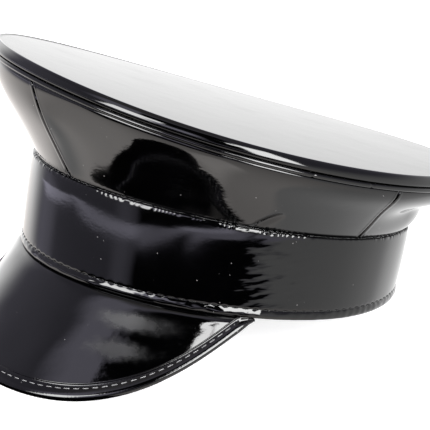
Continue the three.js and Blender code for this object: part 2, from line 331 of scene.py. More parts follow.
def stretched_noise(tree, place, scale, detail, stretch=(1, 1, 1), turn=(0, 0, 0)):
    """Noise whose grain is turned and stretched before it is read."""
    inputs = {"Vector": place, "Rotation": turn, "Scale": stretch}
    place = node_of(tree, "ShaderNodeMapping", inputs).outputs["Vector"]
    inputs = {"Vector": place, "Scale": scale, "Detail": detail}
    return node_of(tree, "ShaderNodeTexNoise", inputs).outputs["Fac"]


def mapped(tree, value, from_low, from_high, to_low, to_high, curve="LINEAR"):
    """Carries a value from one range to another."""
    inputs = {"Value": value, "From Min": from_low, "From Max": from_high,
              "To Min": to_low, "To Max": to_high}
    node = node_of(tree, "ShaderNodeMapRange", inputs, interpolation_type=curve)
    return node.outputs["Result"]


def bumped(tree, height, distance, strength, below=None):
    """Bump node for a height, on top of another bump."""
    inputs = {"Height": height, "Distance": distance, "Strength": strength, "Normal": below}
    return node_of(tree, "ShaderNodeBump", inputs).outputs["Normal"]


def spot_round(tree, where, place, turn, size):
    """1 at a place, falling evenly to 0 at the surface of an ellipsoid round it."""
    inputs = {"Vector": where, "Location": place, "Rotation": turn, "Scale": size}
    local = node_of(tree, "ShaderNodeMapping", inputs, vector_type="TEXTURE")
    inputs = {"Vector": local.outputs["Vector"]}
    return node_of(tree, "ShaderNodeTexGradient", inputs, gradient_type="SPHERICAL").outputs["Fac"]


# %% [markdown]
# A sheet of patent vinyl isn't equally glossy and flat all over. Where the band is held it has
# sagged into level streaks, which comb the edges of every reflection, and the peak has two
# scuffs where the gloss is dulled. Both are limited to a place by a ball-shaped gradient, and
# the streaks turn the normal itself sideways, because a bump map would turn it up and down too.

# %% The vinyl finish
# how fine each pattern is, in grains to the metre, and how deep the bumps are, in metres
HAZE, FRAY, DUST, DUST_AREAS, RUBBED, STREAKS = 38, 260, 320, 140, 22, 75
BROAD, FINE, PEEL = 60, 210, 900
BROAD_DEPTH, FINE_DEPTH, PEEL_DEPTH = 0.00016, 0.00006, 0.000004
SWING = 0.16             # sideways tilt of the streaks, as a share of the normal
SCUFF_ROUGHNESS = 0.3
BLACK = ((0.0001, 0.0001, 0.0001), (0.0004, 0.0004, 0.0005))
DUST_COLOUR = (0.17, 0.165, 0.16)
VINYL_IOR = 1.54


def wavering(tree, where, handled):
    """Normal that swings left and right in flat streaks round a handled place: the normal
    plus a share of the level direction along the face, made one long again."""
    normal = node_of(tree, "ShaderNodeNewGeometry", {}).outputs["Normal"]
    level = calculated(tree, "CROSS_PRODUCT", normal, (0, 0, 1), kind="ShaderNodeVectorMath")
    near = spot_round(tree, where, handled[:3], (0, 0, 0), (handled[3],) * 3)
    streaks = stretched_noise(tree, where, STREAKS, 2, stretch=(1, 1, 6), turn=(LEAN, 0, 0))
    share = calculated(tree, "MULTIPLY", mapped(tree, near, 0, 0.6, 0, 1),
                       mapped(tree, streaks, 0.25, 0.75, -SWING, SWING))
    swung = calculated(tree, "MULTIPLY_ADD", level, share, normal, kind="ShaderNodeVectorMath")
    return calculated(tree, "NORMALIZE", swung, kind="ShaderNodeVectorMath")


def vinyl(name, gloss, ripple=(1, 1, 3), ripple_depth=1.0, wave_depth=1.0, ribs=0.0,
          handled=None, scuffs=()):
    """Patent vinyl. Gloss is (low, high) roughness; ripple stretches the fine grain, and
    ribs is the depth in millimetres of fine gathers across a strip. Round a handled place,
    (x, y, z, radius) in metres, the face wavers sideways. A scuff is a place, a turn and
    three half lengths of an ellipsoid inside which the gloss is dulled."""
    material, tree, shader = new_finish(name)
    where = node_of(tree, "ShaderNodeTexCoord", {}).outputs["Object"]

    haze = stretched_noise(tree, where, HAZE, 4)
    dull = mapped(tree, haze, 0.35, 0.7, *gloss)
    for place, turn, size in scuffs:
        torn = mapped(tree, stretched_noise(tree, where, FRAY, 4), 0.3, 0.7, -0.12, 0.12)
        worn = calculated(tree, "ADD", spot_round(tree, where, place, turn, size), torn)
        dull = calculated(tree, "ADD", mapped(tree, worn, 0.05, 0.75, 0, SCUFF_ROUGHNESS), dull)

    dust = node_of(tree, "ShaderNodeTexVoronoi", {"Vector": where, "Scale": DUST})
    speck = mapped(tree, dust.outputs["Distance"], 0.05, 0.10, 1, 0)
    few = mapped(tree, stretched_noise(tree, where, DUST_AREAS, 1), 0.635, 0.645, 0, 1)
    dusty = blended(tree, calculated(tree, "MULTIPLY", speck, few),
                    blended(tree, haze, *BLACK), DUST_COLOUR)

    broad = stretched_noise(tree, where, BROAD, 1)
    fine = stretched_noise(tree, where, FINE, 3, stretch=ripple, turn=(LEAN, 0, 0))
    peel = stretched_noise(tree, where, PEEL, 2)
    below = wavering(tree, where, handled) if handled else None
    normal = bumped(tree, broad, BROAD_DEPTH * wave_depth, 1, below)
    normal = bumped(tree, fine, FINE_DEPTH * ripple_depth, 1, normal)
    rubbed = mapped(tree, stretched_noise(tree, where, RUBBED, 1), 0.42, 0.62, 0.1, 1)
    tree.links.new(rubbed, normal.node.inputs["Strength"])
    normal = bumped(tree, peel, PEEL_DEPTH, 1, normal)
    if ribs:
        gathers = stretched_noise(tree, cloth_place(tree), 1.0, 2, stretch=(0.9, 0.12, 1))
        normal = bumped(tree, gathers, 0.001 * ribs, 1, normal)
    fed(tree, shader, {"Base Color": dusty, "Roughness": dull, "Normal": normal, "IOR": VINYL_IOR})
    return material


def backing(name):
    """Knitted back of the vinyl: matt black, with a fine rib in cloth millimetres."""
    material, tree, shader = new_finish(name)
    knit = calculated(tree, "MULTIPLY", bands(tree, 0.9, 1.2, "X"), bands(tree, 0.7, 1.5, "Y"))
    tone = blended(tree, knit, (0.008, 0.008, 0.009), (0.030, 0.030, 0.033))
    fed(tree, shader, {"Base Color": tone,
                       "Roughness": mapped(tree, knit, 0, 1, 0.95, 0.8),
                       "Normal": bumped(tree, knit, 0.0002, 0.8),
                       "Sheen Weight": 0.35, "Sheen Roughness": 0.5})
    return material


def thread(name, dark, light):
    """Sewing thread: satin, with the twist of its plies as slanted dark and light bands."""
    material, tree, shader = new_finish(name)
    plies = bands(tree, 0.9, 0.4, "DIAGONAL")
    fed(tree, shader, {"Base Color": blended(tree, plies, (dark,) * 3, (light,) * 3),
                       "Roughness": mapped(tree, plies, 0, 1, 0.34, 0.20),
                       "Normal": bumped(tree, plies, 0.00008, 0.7)})
    return material


crown_vinyl = vinyl("crown_vinyl", (0.03, 0.09), ripple=(1, 1, 2), ripple_depth=0.5,
                    wave_depth=0.12)
top_vinyl = vinyl("top_vinyl", (0.05, 0.12), ripple=(1, 1, 1), ripple_depth=0.25,
                  wave_depth=0.3)
band_vinyl = vinyl("band_vinyl", (0.03, 0.08), ripple=(1, 1, 1.8), ripple_depth=0.15,
                   wave_depth=0.1, handled=(0.085, -0.034, 0.050, 0.028))
peak_vinyl = vinyl("peak_vinyl", (0.03, 0.08), ripple=(1, 1, 2), ripple_depth=0.6,
                   scuffs=[((0.051, -0.089, 0.0325), (0, 0.11, 0.68), (0.034, 0.016, 0.0062)),
                           ((0.051, -0.098, 0.0215), (0, 0.05, 0.66), (0.024, 0.016, 0.0062))])
piping_vinyl = vinyl("piping_vinyl", (0.05, 0.12), ripple_depth=0.2, wave_depth=0.2)
binding_vinyl = vinyl("binding_vinyl", (0.05, 0.12), ripple_depth=0.1, wave_depth=0.15,
                      ribs=0.05)
cloth_back = backing("knitted_back")
black_thread = thread("black_thread", 0.003, 0.009)
# The binding's thread gets a light grey colour that stands in for the soft boxes' glints on dark
# satin thread: a painted highlight.
painted_highlight_thread = thread("painted_highlight_thread", 0.12, 0.28)
print("nodes in the band's finish:", len(band_vinyl.node_tree.nodes))

# %% [markdown]
# ## Stitches
# The band's hem and the binding of the peak show rows of thread. One stitch is a short, round
# dash that rises out of the cloth and dives in again. It has six sides and four steps, few
# enough to be repeated a hundred times, and all the stitches of a row are one array.

# %% Rows of stitches
def stitch_row(name, centre, along, outward, half_length, radius, material):
    """Dashes at centre, pointing along, with their backs outward, all (n, 3). The middle of
    a dash is lifted by 0.6 of its radius, and the lift fades with the square of the way."""
    along = unit(along)
    aside = unit(np.cross(along, outward))
    outward = np.cross(aside, along)
    way = np.array([-1, -0.8, 0, 0.8, 1])
    thick = np.array([0.3, 0.85, 1, 0.85, 0.3]) * radius
    sides, rings = 6, len(way)
    turn = np.linspace(0, 2 * math.pi, sides, endpoint=False)
    lift = (0.6 - way ** 2)[:, None] * radius + thick[:, None] * np.cos(turn)
    across = thick[:, None] * np.sin(turn)
    points = (centre[:, None, None] + (way * half_length)[:, None, None] * along[:, None, None]
              + lift[..., None] * outward[:, None, None] + across[..., None] * aside[:, None, None])
    step, side = np.meshgrid(np.arange(rings - 1), np.arange(sides), indexing="ij")
    side, after, step = side, (side + 1) % sides, step * sides
    quads = np.stack([step + side, step + after, step + sides + after, step + sides + side],
                     axis=-1).reshape(-1, 4)
    first = sides * rings * np.arange(len(centre))[:, None, None]
    faces = (first + quads).reshape(-1, 4).tolist()
    caps = np.stack([np.arange(sides)[::-1], np.arange(sides) + sides * (rings - 1)])
    faces += (first + caps).reshape(-1, sides).tolist()
    mesh = bpy.data.meshes.new(name)
    mesh.from_pydata(on_the_floor(points).reshape(-1, 3).tolist(), [], faces)
    corner = np.zeros(len(mesh.loops), np.int32)
    mesh.loops.foreach_get("vertex_index", corner)
    uv = np.stack([way[corner // sides % rings] * half_length * 4, corner % sides / 3.0], axis=-1)
    print(len(centre), "stitches")
    finish_piece(mesh, uv, [material], None)


# %% [markdown]
# ## The top
# The top is one sheet, pulled nearly flat over a wire ring. Just inside the rim it runs
# level; at the rim it rolls over the wire and turns down, and that roll catches a long
# highlight. The flat part comes from the rim oval scaled towards its middle, with a slight
# sag, and the roll is a smooth curve through seven fold points beside the rim.

# %% Top sheet and its rolled edge
CLOTH = 1.4            # thickness of the vinyl with its backing, in millimetres
FLAT_UP_TO = 0.95      # share of the way out to the rim where the roll starts
ROUND_TOP = np.linspace(0, 2 * math.pi, 480, endpoint=False)


def top_sheet(angle, share, drop=0.0):
    """Rim oval scaled by share; it sags by 1.5 * (1 - share^2), less any drop."""
    point = rim_line(angle, share)
    point[..., 2] -= 1.5 * (1 - share ** 2) + drop
    return point


def top_side(roll, drop):
    """One face of the top: flat shares from the middle outward, then the roll."""
    flat_shares = np.linspace(0, 1, 34) ** 0.8 * FLAT_UP_TO
    flat = top_sheet(ROUND_TOP[:, None], flat_shares[None, :], drop)
    last = [top_sheet(ROUND_TOP, share, drop) for share in (FLAT_UP_TO, 0.965, 0.98)]
    rows = np.stack(last + [beside(rim_line, ROUND_TOP, out, up) for out, up in roll])
    curve, _ = smooth_through(rows, [2, 2, 3] + [4] * (len(roll) - 1))
    return np.concatenate([flat[:, :-1], curve], axis=1)[:, ::-1]


# (outward, upward) of the fold points beside the rim, in millimetres
TOP_ROLL = [(-1.5, 0.2), (-0.2, -0.48), (0.52, -1.6), (0.86, -2.6), (0.97, -3.4), (0.7, -4.5),
            (0.0, -4.95)]
UNDER_ROLL = [(-2.1, -1.1), (-1.5, -1.4), (-1.05, -2.0), (-0.8, -2.7), (-0.7, -3.6),
              (-0.7, -4.4), (-0.7, -4.9)]
sew("crown_top_sheet", top_side(TOP_ROLL, 0), top_side(UNDER_ROLL, CLOTH), True,
    [top_vinyl, cloth_back], "crown_top")

# %% [markdown]
# ## The piping
# Piping is a cord inside a folded strip, sewn between the roll and the quarters. Only its
# round front shows, so it is a ring with a nearly round section. Where its two ends meet,
# and where it was stretched over the wire's joint, it has a small nick.

# %% Piping under the roll
ROUND_PIPE = np.linspace(0, 2 * math.pi, 720, endpoint=False)
NICKS = np.radians([67.0, 82.0])    # where the cord is nicked, round the head
PIPE_OUT, PIPE_UP = -0.15, -6.45    # middle of the cord beside the rim line, in millimetres


def pipe_side(turn):
    """Half of the section: (1.05 * cos, 1.15 * sin) about its middle, thinner at the nicks."""
    angle = ROUND_PIPE[:, None] + 0 * turn[None, :]
    near = np.abs(angle[..., None] - NICKS).min(axis=-1)
    thin = 1 - 0.3 * bell(near, 0, 0.004)
    return beside(rim_line, angle, PIPE_OUT + 1.05 * thin * np.cos(turn),
                  PIPE_UP + 1.15 * thin * np.sin(turn))


front_half = np.radians(np.linspace(-100, 100, 46))
back_half = np.radians(np.linspace(-105, -255, 7))
sew("rim_piping_cord", pipe_side(front_half), pipe_side(back_half), True,
    [piping_vinyl], "rim_piping")

# %% [markdown]
# ## The four quarters
# The side of the crown is cut as four pieces, sewn at the front, the back and both sides.
# Each one leaves the band, swells outward and ends behind the piping. In front it bellies,
# and at the back it first rises and then runs out flat, so the section is a mix of three
# profiles, weighted by the angle. At a seam the cloth turns in: the outer face dives by
# most of the cloth's thickness within a millimetre.

# %% Sections of the quarters
# share of the way out to the rim and of the way up, at the front, the sides and the back
FRONT_OUT = np.array([0.025, 0.26, 0.45, 0.65, 0.83, 0.94])
FRONT_UP = np.array([0.04, 0.25, 0.40, 0.55, 0.70, 0.85])
LEFT_OUT = np.array([0.035, 0.24, 0.39, 0.55, 0.71, 0.87])
SIDE_OUT = np.array([0.045, 0.26, 0.41, 0.57, 0.74, 0.92])
SIDE_UP = np.array([0.04, 0.26, 0.40, 0.55, 0.70, 0.84])
BACK_OUT = np.array([0.06, 0.22, 0.19, 0.25, 0.50, 0.82])
BACK_UP = np.array([0.04, 0.24, 0.42, 0.56, 0.64, 0.76])
# degrees by which the front seam and the wearer's left seam run askew, bottom to top
FRONT_ASKEW = [2.6, 2.2, 1.6, 0.4, -0.4, -0.6, -0.4, -0.3, -0.9, -2.2, -3.0, -3.0]
LEFT_ASKEW = [3.9, 3.6, 3.0, 2.7, 2.5, 2.1, 1.5, 1.2, 0.9, 0.9, 1.2, 1.2]


def seam_shift(angle, row):
    """Both shifts fade round the head: tenth power of cosine in front, of sine at the left."""
    front = np.take(FRONT_ASKEW, row) * np.clip(np.cos(angle), 0, None) ** 10
    left = np.take(LEFT_ASKEW, row) * np.clip(np.sin(angle), 0, None) ** 10
    return np.radians(front + left)


def quarter_rows(angle):
    """Twelve fold rows of the middle of the cloth, each at its own shifted angle."""
    place = angle + seam_shift(angle, np.arange(len(FRONT_ASKEW))[:, None])
    wall = place[3:9]
    low = beside(band_top, wall, -1.65, 0.85)
    high = beside(rim_line, wall, -1.2, -8.6)
    turn = np.abs((wall + math.pi) % (2 * math.pi) - math.pi)
    front = 1 - soft_step(turn, math.radians(45), math.radians(85))
    back = soft_step(turn, math.radians(88), math.radians(114))
    mix = (front, 1 - front - back, back)
    out = sum(w * p[:, None] for w, p in zip(mix, (FRONT_OUT, SIDE_OUT, BACK_OUT)))
    straight = front * soft_step(np.sin(wall), 0.0, 0.4)
    out = out + straight * (LEFT_OUT - FRONT_OUT)[:, None]
    up = sum(w * p[:, None] for w, p in zip(mix, (FRONT_UP, SIDE_UP, BACK_UP)))
    share = np.stack([out, out, up], axis=-1)
    return np.concatenate([
        [beside(band_top, place[0], -3.3, -6)],
        [beside(band_top, place[1], -3.2, -0.2)],
        [beside(band_top, place[2], -1.65, 0.85)],
        low + (high - low) * share,
        [beside(rim_line, place[9], -1.2, -8.6)],
        [beside(rim_line, place[10], -1.9, -7.4)],
        [beside(rim_line, place[11], -1.9, -3.4)],
    ])


# %% [markdown]
# Vinyl keeps a trace of every pull. Each trace is a height added along the sheet's normal: the
# dive and the ridge of a seam, tugs at its stitches, puckers above the band, soft waves from
# handling and one long crease.

# %% Seams, puckers and creases of the quarters
def crease(round_mm, up_mm, start, end, width, depth):
    """A fold along a straight line on the cloth: a bell curve across the line, and a half
    sine along it. Places are in millimetres round from the seam and up from the band."""
    run = np.subtract(end, start)
    length = np.hypot(*run)
    along = ((round_mm - start[0]) * run[0] + (up_mm - start[1]) * run[1]) / length
    across = ((round_mm - start[0]) * run[1] - (up_mm - start[1]) * run[0]) / length
    fade = np.sin(math.pi * np.clip(along / length, 0, 1))
    return depth * fade * bell(across, 0, width)


def quarter(name, start, end, creases=()):
    """One quarter between two seam angles in degrees. Steps crowd at the seams by
    t - 0.93 sin(2 pi t) / (2 pi). The outer face is lifted by cloth, puckers and creases."""
    t = np.linspace(0, 1, 210)
    crowded = t - 0.93 * np.sin(2 * math.pi * t) / (2 * math.pi)
    angle = np.radians(start + 0.09 + (end - start - 0.18) * crowded)
    middle, row = smooth_through(quarter_rows(angle), [4, 5, 6, 6, 6, 6, 6, 6, 8, 10, 5])
    middle = ironed(middle, soft_step(row, 2.5, 4) * (1 - soft_step(row, 7.5, 9)), 40)
    normal = cloth_normals(middle, False)
    round_mm = steps(middle, 0, prepend=middle[:1]).cumsum(axis=0)
    seam_mm = np.minimum(round_mm, round_mm[-1:] - round_mm)
    up_mm = steps(middle, 1, prepend=middle[:, :1]).cumsum(axis=1)
    up_mm = up_mm - up_mm[:, 9:10]

    dive = -1.1 * (1 - soft_step(seam_mm, 0.0, 0.85))
    ridge = 0.09 * bell(seam_mm, 1.5, 0.7)
    tug = 0.03 * np.sin(2 * math.pi * up_mm / 3.3) * bell(seam_mm, 0, 3)
    pull = 0.03 * np.sin(2 * math.pi * round_mm / 3.1) * bell(up_mm, 0.5, 1.6)
    lift = dive + ridge + tug + pull + waves(middle, 40, 0.02, seed=4)
    for fold in creases:
        lift = lift + crease(round_mm, up_mm, *fold)
    seen = soft_step(row, 1.0, 2.0) * (1 - soft_step(row, 9.0, 10.0))
    lift = (lift * seen)[..., None] * normal
    sew(name, middle + normal * CLOTH / 2 + lift, middle - normal * CLOTH / 2, False,
        [crown_vinyl, cloth_back], name.replace("_panel", ""))


quarter("quarter_front_left_panel", 0, 90, [((92, -1.5), (117, 13.5), 0.9, -0.9)])
quarter("quarter_back_left_panel", 90, 180)
quarter("quarter_back_right_panel", 180, 270)
quarter("quarter_front_right_panel", 270, 360)

# %% [markdown]
# ## The band
# The band is vinyl folded round a stiff strip. Its lower edge is a hem, held by a line of
# stitches about 4.5 mm up, and its upper edge is turned in over the join with the crown, so
# the cloth gathers there in small puckers, one to each stitch of the hidden seam.

# %% Band with its hem and gathered upper edge
ROUND_BAND = np.linspace(0, 2 * math.pi, 1000, endpoint=False)
HEM_HEIGHT = 4.5
HEM_PITCH, GATHER_PITCH = 5.0, 3.0    # millimetres from stitch to stitch
# (share of the height, millimetres more, outward), bottom to top
BAND_OUTSIDE = [(0, 0.0, -1.1), (0, 0.05, -0.55), (0, 0.45, 0.1), (0, 1.4, 0.48), (0, 2.6, 0.5),
                (0, 4.0, 0.1), (0, 4.6, -0.03), (0, 6.0, 0.08), (0.5, 0, 0.4), (1, -9, 0.44),
                (1, -6, 0.38), (1, -3, 0.22), (1, -1.2, 0.06), (1, -0.4, -0.18), (1, 0, -1.2)]
BAND_INSIDE = [(0, 0.0, -1.5), (0, 0.4, -2.0), (0, 1.5, -2.2), (0.5, 0, -2.2), (1, -2, -2.2),
               (1, -0.4, -2.0), (1, 0.0, -1.6)]


def band_side(section, counts):
    """Rows of (share * height + more) above the lower edge, outward plus the flare."""
    height = band_top_height(ROUND_BAND)
    rows = [(share * height + more, out) for share, more, out in section]
    rows = np.stack([band_line(ROUND_BAND, out + FLARE * z / height, z) for z, out in rows])
    return smooth_through(rows, counts)[0]


def stitches_round(place_mm, pitch, line_mm):
    """Cosine of the place on a closed line, with a whole number of stitches round it: -1 on a
    stitch, where the cloth is pulled in, and 1 between two."""
    total = line_mm[-1] + (line_mm[-1] - line_mm[-2])
    return -np.cos(2 * math.pi * place_mm / total * round(total / pitch))


outside = band_side(BAND_OUTSIDE, [2, 2, 2, 3, 4, 3, 5, 6, 5, 4, 4, 3, 3, 2])
inside = band_side(BAND_INSIDE, [1, 2, 3, 3, 2, 1])
normal = cloth_normals(outside, True)
way = steps(outside[:, 20], prepend=outside[:1, 20]).cumsum()
up = outside[..., 2]
below_top = band_top_height(ROUND_BAND)[:, None] - up
uneven = 1 + 0.6 * waves(outside[:, 20], 17, 1, seed=8)[:, None]
gather_way = way + 2.2 * waves(outside[:, 20], 13, 1, seed=21)
tighter = 0.45 * bell(ROUND_BAND, 1.07, 0.18)[:, None]
gather = (0.13 + tighter) * uneven * stitches_round(gather_way, GATHER_PITCH, way)[:, None]
gather = gather * bell(below_top, 0.5, 0.7)
hem = 0.09 * uneven * stitches_round(way, HEM_PITCH, way)[:, None] * bell(up, HEM_HEIGHT, 0.8)
groove = -0.16 * bell(up, HEM_HEIGHT, 0.4)
dents = waves(outside, 30, 0.02, seed=3) * soft_step(up, 0, 6)
dents = dents + waves(outside, 6, 0.10, seed=6) * bell(up, 2, 1.6)
outside = outside + (gather + hem + groove + dents)[..., None] * normal
sew("cap_band_cloth", outside, inside, True, [band_vinyl, cloth_back], "cap_band")

total = way[-1] + (way[-1] - way[-2])
hem_count = round(total / HEM_PITCH)
hem_angle = np.interp(np.arange(hem_count) * total / hem_count, np.append(way, total),
                      np.append(ROUND_BAND, 2 * math.pi))
hem_line = beside(band_line, hem_angle, -0.12, HEM_HEIGHT)
hem_along = beside(band_line, hem_angle + 1e-3, -0.12, HEM_HEIGHT) - hem_line
hem_out = beside(band_line, hem_angle, 0.88, HEM_HEIGHT) - hem_line
stitch_row("hem_stitches", hem_line, hem_along, hem_out, 1.7, 0.3, black_thread)

# %% [markdown]
# ## The peak
# The peak is a board covered in vinyl. Its inner edge is sewn up inside the band, it passes
# under the band's edge and then slopes down steeply, longest in the middle and running out
# to nothing at both ends. Its length and slope are functions of the share of the way round.

# %% Peak board
PEAK_HALF_ANGLE = math.radians(64.2)
BOARD = 1.2           # thickness in millimetres
BEND = 2.5            # length of the bend under the band, before the straight slope
PEAK_STEPS = [4, 3, 3, 5, 10, 12, 12, 12]    # steps of the mesh between the fold rows


def peak_length(share):
    """57.6 mm in the middle: cos(pi/2 * |share|^1.31)^1.21."""
    bow = np.cos(math.pi / 2 * np.abs(share) ** 1.31)
    return 57.6 * np.clip(bow, 0, None) ** 1.21


def down_slope(share, length):
    """(out, up) of a length along the slope, which steepens from 59.8 to 70.2 degrees."""
    slope = np.radians(59.8 + 10.4 * share ** 2)
    return np.stack([length * np.cos(slope), -length * np.sin(slope)], axis=-1)


def peak_path(share):
    """Fold rows (row, share, 2) of the middle of the board: up behind the band, level under
    its edge, through the bend and down the slope."""
    length = peak_length(share)
    start = np.stack([np.full_like(share, -0.5), np.full_like(share, -0.9)], axis=-1)
    bend = down_slope(share, BEND)
    reached = np.minimum(1, length / BEND)[:, None]
    long_enough = (length > BEND)[:, None]
    end = np.where(long_enough, down_slope(share, length), start + (bend - start) * reached)
    turn = start + (bend - start) * np.minimum(1, 0.6 * reached + 0.4 * long_enough)
    inner = [np.broadcast_to(p, start.shape) for p in ((-3.1, 8.0), (-3.1, 0.9), (-2.2, -0.9))]
    slope = [turn + (end - turn) * part for part in (0.25, 0.5, 0.75)]
    return np.stack([*inner, start, turn, *slope, end])


def lift_section(share, section):
    """Carries (out, up) sections, shape (share, steps, 2), round the band's lower edge."""
    angle = np.broadcast_to((PEAK_HALF_ANGLE * share)[:, None], section.shape[:2])
    return beside(band_line, angle, section[..., 0], section[..., 1])


def section_normal(section):
    """Unit normal (-dy, dx) of a section in its own plane."""
    along = unit(np.gradient(section, axis=1))
    return np.stack([-along[..., 1], along[..., 0]], axis=-1)


share = np.sin(np.linspace(-1, 1, 260) * math.pi / 2) * 0.995
path, _ = smooth_through(peak_path(share), PEAK_STEPS)
square = section_normal(path)
board = [lift_section(share, path + side * BOARD / 2 * square)[:, ::-1] for side in (1, -1)]
dents = waves(board[0], 26, 0.09, seed=11) + waves(board[0], 55, 0.16, seed=12)
normal = cloth_normals(board[0], False)
board = [side + (dents * soft_step(-side[..., 2], 1, 6))[..., None] * normal for side in board]
sew("peak_board", board[0], board[1], False, [peak_vinyl], "peak")

# %% [markdown]
# ## The binding
# A folded strip grips the edge of the peak. It lies on the board a little proud, is sewn
# through near its inner edge, and swells into a soft roll outside the edge. The strip's
# section is drawn in the plane of the board: past the edge and square to it.

# %% Binding round the edge of the peak
STRIP = 7.3                # width of the strip on either face, in millimetres
LIFT = BOARD / 2 + 0.25    # from the middle of the board to the strip's own underside
THICK = LIFT + 0.65        # and to its outer face below the board
SEWN_AT = 0.59             # share of the strip's width where the thread goes through
share = np.sin(np.linspace(-1, 1, 420) * math.pi / 2) * 0.986
length = peak_length(share)
over = np.minimum(STRIP, length + 0.2)
swell = 0.35 + 0.65 * soft_step(length, 0, 6)
raised = soft_step(length, 5.5, 8)
below = np.minimum(STRIP, np.maximum(length - 2.9, 0.15))
path, _ = smooth_through(peak_path(share), PEAK_STEPS)
edge, square = path[:, -1], section_normal(path)[:, -1]


def past_edge(rows):
    """Points (past the edge, square to the board) in the section plane."""
    rows = np.stack([np.stack(np.broadcast_arrays(a, b, share)[:2], axis=-1) for a, b in rows])
    ahead = np.stack([square[:, 1], -square[:, 0]], axis=-1)
    section = edge + rows[..., :1] * ahead + rows[..., 1:] * square
    curve, _ = smooth_through(section, [3] * (len(rows) - 1))
    return lift_section(share, curve)[:, ::-1]


# (share of the strip's width inward, millimetres past the edge, height above the board)
BINDING_OUTSIDE = [(1, 0, 0.05), (0.99, 0, 0.4), (0.965, 0, 0.62), (0.925, 0, 0.6),
                   (0.83, 0, 0.16), (0.62, 0, 0.48), (0.46, 0, 0.78), (0.31, 0, 1.04),
                   (0.19, 0, 1.16), (0.07, 0, 1.12), (0, 0.3, 0.88), (0, 1.0, 0.35),
                   (0, 1.4, -0.25)]
outer = [(past * swell - inward * over, LIFT + high * (swell if inward < 0.5 else raised))
         for inward, past, high in BINDING_OUTSIDE]
outer += [(1.3 * swell, -1.0), (0.6 * swell, -1.4), (-below * 0.3, -THICK), (-below, -THICK)]
inner = [(-inward * over, LIFT) for inward, past, high in BINDING_OUTSIDE if past == 0]
inner += [(0.2, LIFT * 0.95), (0.45, LIFT * 0.5), (0.55, 0), (0.45, -LIFT * 0.5), (0.2, -LIFT),
          (-below * 0.3, -LIFT), (-below, -LIFT)]
sew("peak_binding_strip", past_edge(outer), past_edge(inner), False, [binding_vinyl],
    "peak_binding")


def seam_line(high):
    """Line of the seam round the peak, at a height above the strip's underside."""
    inward = -over * SEWN_AT
    return past_edge([(inward, LIFT + high), (inward + 0.1, LIFT + high)])[:, -1]


sewn = seam_line(0.62)
out_of_it = seam_line(1.5) - sewn
sewn_way = np.append(0, steps(sewn).cumsum())
places = np.arange(11, sewn_way[-1] - 10, 4.5)


def along_seam(points):
    """Values of a line of points at the stitches, read off by the way along the seam."""
    return np.stack([np.interp(places, sewn_way, points[:, k]) for k in range(3)], axis=-1)


# The light grey colour of these stitches is a painted highlight.
stitch_row("binding_stitches", along_seam(sewn), along_seam(np.gradient(sewn, axis=0)),
           along_seam(out_of_it), 1.45, 0.27, painted_highlight_thread)

# %% [markdown]
# ## Floor and studio
# The hat stands in a plain white studio. A black mirror skin has no colour of its own, so its
# whole look is the room: a white backdrop behind it turns the top pale, a white floor gives
# the grey on its underside, the dark side of the room with the camera in it makes the deep
# black core, and two soft boxes left and right of the camera draw the glints on every fold.
# The floor itself is there for the eye and for the shadow; mirror rays see the room instead.

# %% Pale floor
def studio_thing(name, corners, faces, finish, values):
    """A mesh of the studio, with plain values on its shader."""
    mesh = bpy.data.meshes.new(name)
    mesh.from_pydata(corners, [], faces)
    material, tree, shader = new_finish(finish)
    fed(tree, shader, values)
    mesh.materials.append(material)
    return put_in_scene(name, mesh)


floor = studio_thing("floor", [(-4, -4, 0), (4, -4, 0), (4, 4, 0), (-4, 4, 0)], [(0, 1, 2, 3)],
                     "pale_floor", {"Base Color": (0.9, 0.9, 0.9, 1), "Roughness": 0.9,
                                    "Emission Color": (1, 1, 1, 1), "Emission Strength": 0.71})
floor.visible_glossy = False
print("floor seen by mirror rays:", floor.visible_glossy)

# %% [markdown]
# Close under the peak the floor gets no light, and the underside of the crown looks straight
# down at that place: its deep black heart, with one slanting and one ragged border, is the
# peak's own shadow. A thin crescent that only mirror rays can see stands for the shadow.

# %% Shadow of the peak, as the crown sees it
SHADOW_START = 45          # millimetres from its middle to the crescent's inner edge
SHADOW_MIDDLE = -0.040     # where its middle lies in y, in metres
ABOVE_FLOOR = 0.0006
around = np.linspace(-62, 58, 220)    # degrees from the front
reach = (107 + 3.5 * soft_step(-around, 12, 30) - 8 * soft_step(-around, 33, 38)
         + 9 * soft_step(around, -3, 3) + 8 * soft_step(around, 2, 17)
         - 40 * soft_step(around, 26, 52))
ring = np.stack([0 * reach + SHADOW_START, reach], axis=1)[..., None] * 0.001
ring = ring * np.stack([np.sin(np.radians(around)), -np.cos(np.radians(around))], axis=-1)[:, None]
ring[..., 1] += SHADOW_MIDDLE
level = np.full(ring.shape[:2] + (1,), ABOVE_FLOOR)
corners = np.concatenate([ring, level], axis=-1).reshape(-1, 3)
k = 2 * np.arange(len(around) - 1)
shadow = studio_thing("peak_shadow", corners.tolist(),
                      np.stack([k, k + 1, k + 3, k + 2], axis=1).tolist(),
                      "shadow_black", {"Base Color": (0, 0, 0, 1), "Specular IOR Level": 0})
shadow.visible_camera = shadow.visible_diffuse = shadow.visible_shadow = False
print("shadow reaches", round(float(reach.max())), "mm out from the middle of the front")

# %% [markdown]
# The room is painted into the world shader, as soft patches placed by azimuth (0 is the
# front of the hat, 90 the wearer's left) and by height above the horizon, both in degrees.
# Each patch covers those before it. The last ones, the lamps and the table's lit edge, are
# small and bright, and they draw the fine lines on the folds.

# %% The room round the hat
world = bpy.data.worlds.new("studio")
bpy.context.scene.world = world
world.use_nodes = True
room = world.node_tree
direction = node_of(room, "ShaderNodeTexCoord", {}).outputs["Generated"]
xyz = node_of(room, "ShaderNodeSeparateXYZ", {0: direction}).outputs
height = calculated(room, "ARCSINE", xyz["Z"])


def soft_edge(value, half, soft):
    """1 where the value is well below half, 0 well above it, in degrees, with a soft step."""
    return mapped(room, value, math.radians(half - soft), math.radians(half + soft), 1, 0,
                  curve="SMOOTHSTEP")


